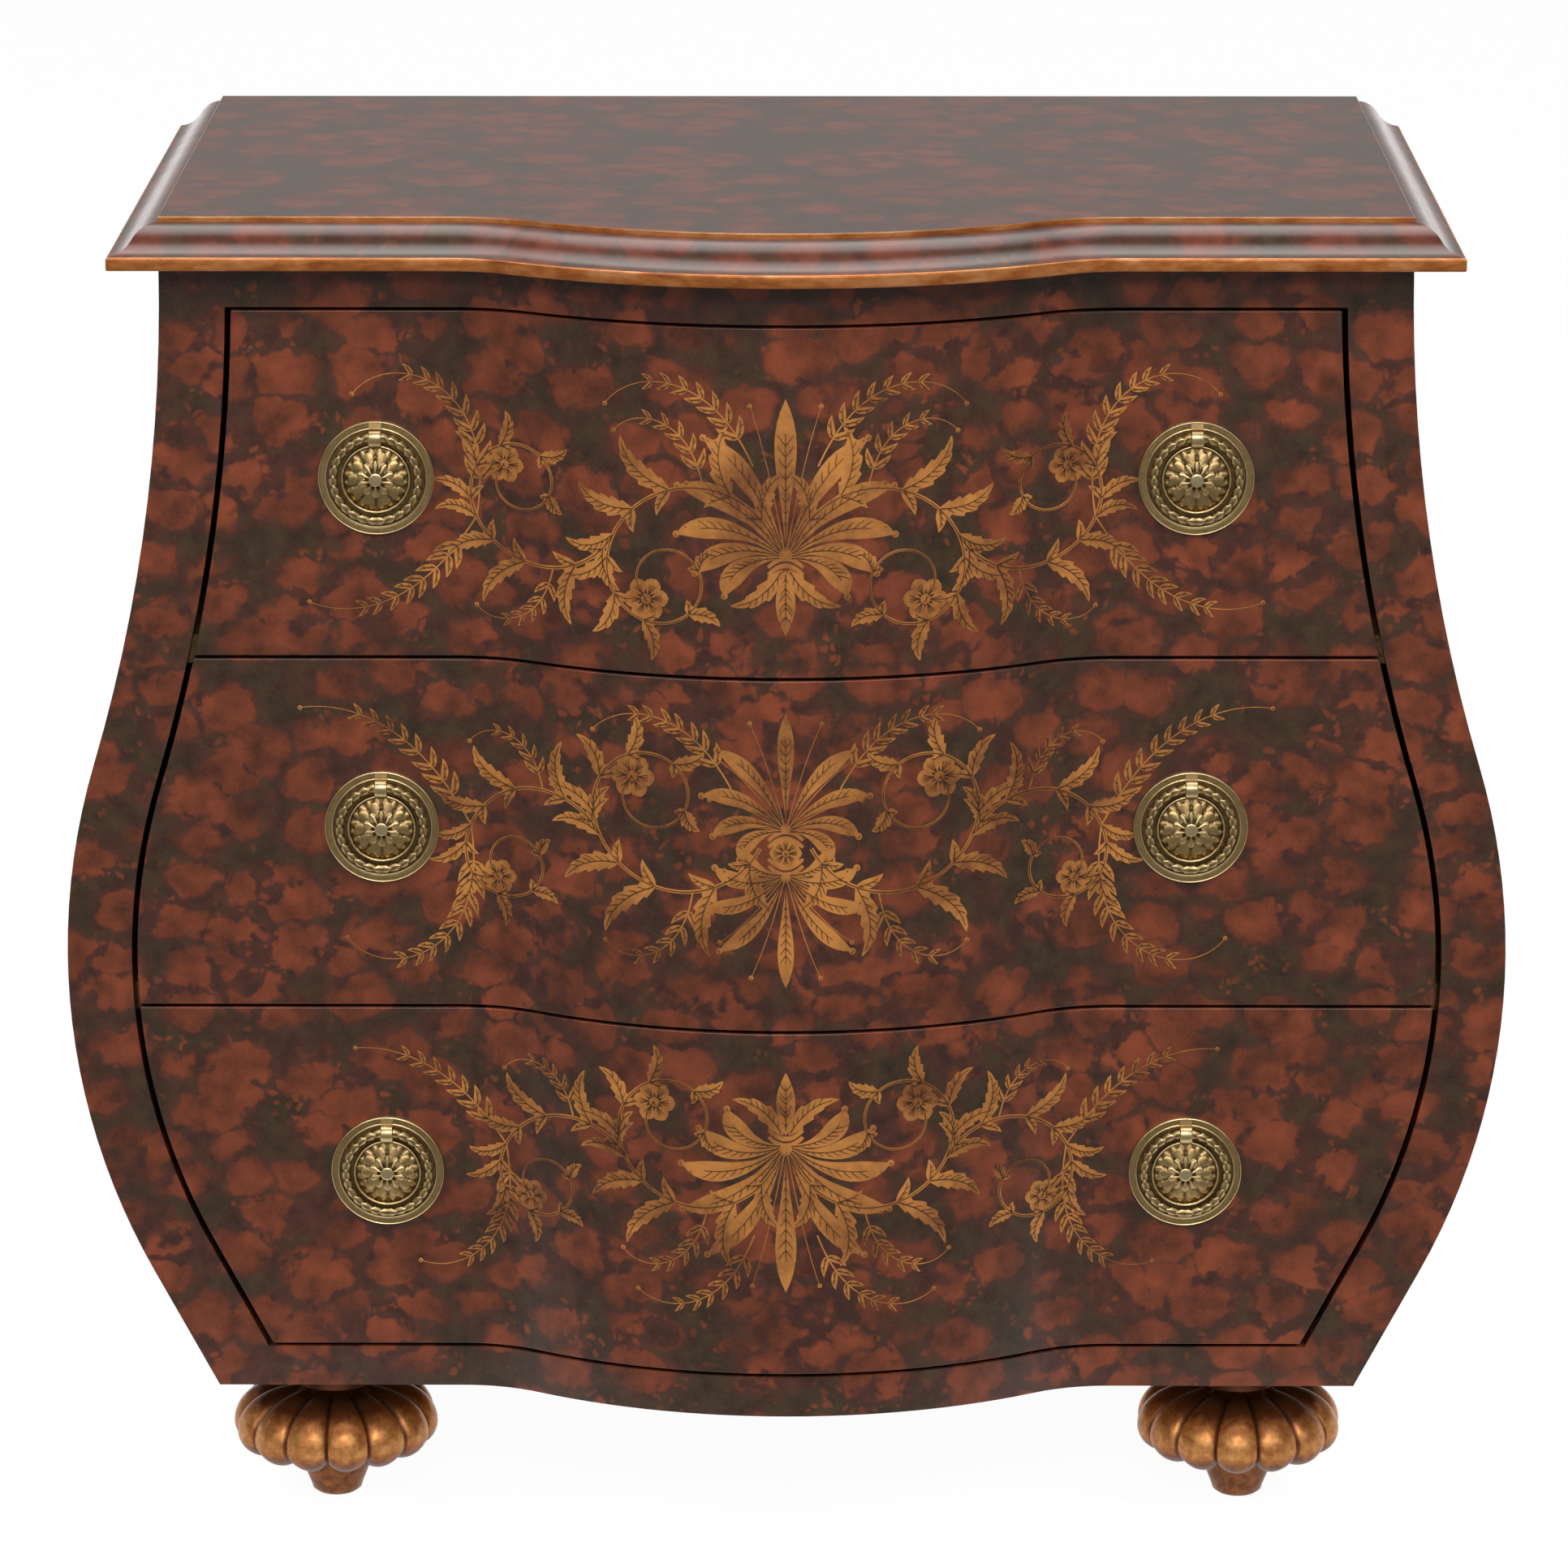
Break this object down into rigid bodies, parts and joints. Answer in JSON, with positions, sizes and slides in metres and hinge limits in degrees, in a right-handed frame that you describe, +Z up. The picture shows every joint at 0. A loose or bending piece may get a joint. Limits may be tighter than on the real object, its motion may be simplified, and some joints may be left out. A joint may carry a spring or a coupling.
{
  "type": "bombe chest",
  "caption": "Low chest with swelling sides, a bowed front of stacked drawers on ring pulls, an ogee-edged top and gadrooned bun feet.",
  "frame": {"origin": "on the floor, under the middle of the chest's overall box", "axes": "+X to the viewer's right across the front, -Y out of the front, +Z up"},
  "size_m": [0.914, 0.5476, 0.864],
  "materials": {
    "tortoiseshell_lacquer": "satin lacquer over a mottled red-brown and olive-black faux tortoiseshell ground",
    "bronzed_wood": "bronze-gilt paint, rubbed and toned dark in the grooves",
    "antique_brass": "antiqued, dark in the recesses",
    "carcase_wood": "plain sawn and sanded softwood",
    "drawer_wood": "clear satin",
    "steel_fixings": "zinc plated",
    "glide_plastic": "moulded nylon"
  },
  "bodies": {
    "case": {"back_nails": "steel_fixings", "back_panel": "carcase_wood", "bottom_board": "carcase_wood", "bottom_rail": "tortoiseshell_lacquer", "bottom_runners": "carcase_wood", "drawer_guides": "carcase_wood", "foot_bolts": "steel_fixings", "foot_glides": "glide_plastic", "front_left_foot": "bronzed_wood", "front_moulding": "tortoiseshell_lacquer", "front_right_foot": "bronzed_wood", "left_moulding": "tortoiseshell_lacquer", "left_side": "tortoiseshell_lacquer", "left_stile": "tortoiseshell_lacquer", "lower_divider_rail": "carcase_wood", "lower_runners": "carcase_wood", "rear_left_foot": "bronzed_wood", "rear_rails": "carcase_wood", "rear_right_foot": "bronzed_wood", "rear_top_rail": "carcase_wood", "right_moulding": "tortoiseshell_lacquer", "right_side": "tortoiseshell_lacquer", "right_stile": "tortoiseshell_lacquer", "top_cleats": "carcase_wood", "top_kickers": "carcase_wood", "top_panel": "tortoiseshell_lacquer", "top_rail": "tortoiseshell_lacquer", "upper_divider_rail": "carcase_wood", "upper_runners": "carcase_wood"},
    "top_drawer": {"top_drawer_back": "drawer_wood", "top_drawer_bottom": "drawer_wood", "top_drawer_front": "tortoiseshell_lacquer", "top_drawer_left_side": "drawer_wood", "top_drawer_right_side": "drawer_wood", "top_pull_posts": "antique_brass", "top_ring_plates": "antique_brass", "top_ring_straps": "antique_brass"},
    "top_left_ring_body": {"top_left_ring": "antique_brass"},
    "top_right_ring_body": {"top_right_ring": "antique_brass"},
    "middle_drawer": {"middle_drawer_back": "drawer_wood", "middle_drawer_bottom": "drawer_wood", "middle_drawer_front": "tortoiseshell_lacquer", "middle_drawer_left_side": "drawer_wood", "middle_drawer_right_side": "drawer_wood", "middle_pull_posts": "antique_brass", "middle_ring_plates": "antique_brass", "middle_ring_straps": "antique_brass"},
    "middle_left_ring_body": {"middle_left_ring": "antique_brass"},
    "middle_right_ring_body": {"middle_right_ring": "antique_brass"},
    "bottom_drawer": {"bottom_drawer_back": "drawer_wood", "bottom_drawer_bottom": "drawer_wood", "bottom_drawer_front": "tortoiseshell_lacquer", "bottom_drawer_left_side": "drawer_wood", "bottom_drawer_right_side": "drawer_wood", "bottom_pull_posts": "antique_brass", "bottom_ring_plates": "antique_brass", "bottom_ring_straps": "antique_brass"},
    "bottom_left_ring_body": {"bottom_left_ring": "antique_brass"},
    "bottom_right_ring_body": {"bottom_right_ring": "antique_brass"}
  },
  "joints": [
    {"name": "top_drawer_slide", "type": "slide", "parent": "case", "child": "top_drawer", "axis": [0, -1, 0], "range_m": [0, 0.32]},
    {"name": "top_left_ring_swing", "type": "hinge", "parent": "top_drawer", "child": "top_left_ring_body", "pos_m": [-0.2555, -0.1968, 0.72685], "axis": [-1, 0, 0], "range_deg": [0, 100]},
    {"name": "top_right_ring_swing", "type": "hinge", "parent": "top_drawer", "child": "top_right_ring_body", "pos_m": [0.2555, -0.1968, 0.72685], "axis": [-1, 0, 0], "range_deg": [0, 100]},
    {"name": "middle_drawer_slide", "type": "slide", "parent": "case", "child": "middle_drawer", "axis": [0, -1, 0], "range_m": [0, 0.32]},
    {"name": "middle_left_ring_swing", "type": "hinge", "parent": "middle_drawer", "child": "middle_left_ring_body", "pos_m": [-0.2555, -0.1968, 0.5011], "axis": [-1, 0, 0], "range_deg": [0, 100]},
    {"name": "middle_right_ring_swing", "type": "hinge", "parent": "middle_drawer", "child": "middle_right_ring_body", "pos_m": [0.2555, -0.1968, 0.5011], "axis": [-1, 0, 0], "range_deg": [0, 100]},
    {"name": "bottom_drawer_slide", "type": "slide", "parent": "case", "child": "bottom_drawer", "axis": [0, -1, 0], "range_m": [0, 0.32]},
    {"name": "bottom_left_ring_swing", "type": "hinge", "parent": "bottom_drawer", "child": "bottom_left_ring_body", "pos_m": [-0.2555, -0.1968, 0.2721], "axis": [-1, 0, 0], "range_deg": [0, 100]},
    {"name": "bottom_right_ring_swing", "type": "hinge", "parent": "bottom_drawer", "child": "bottom_right_ring_body", "pos_m": [0.2555, -0.1968, 0.2721], "axis": [-1, 0, 0], "range_deg": [0, 100]}
  ]
}
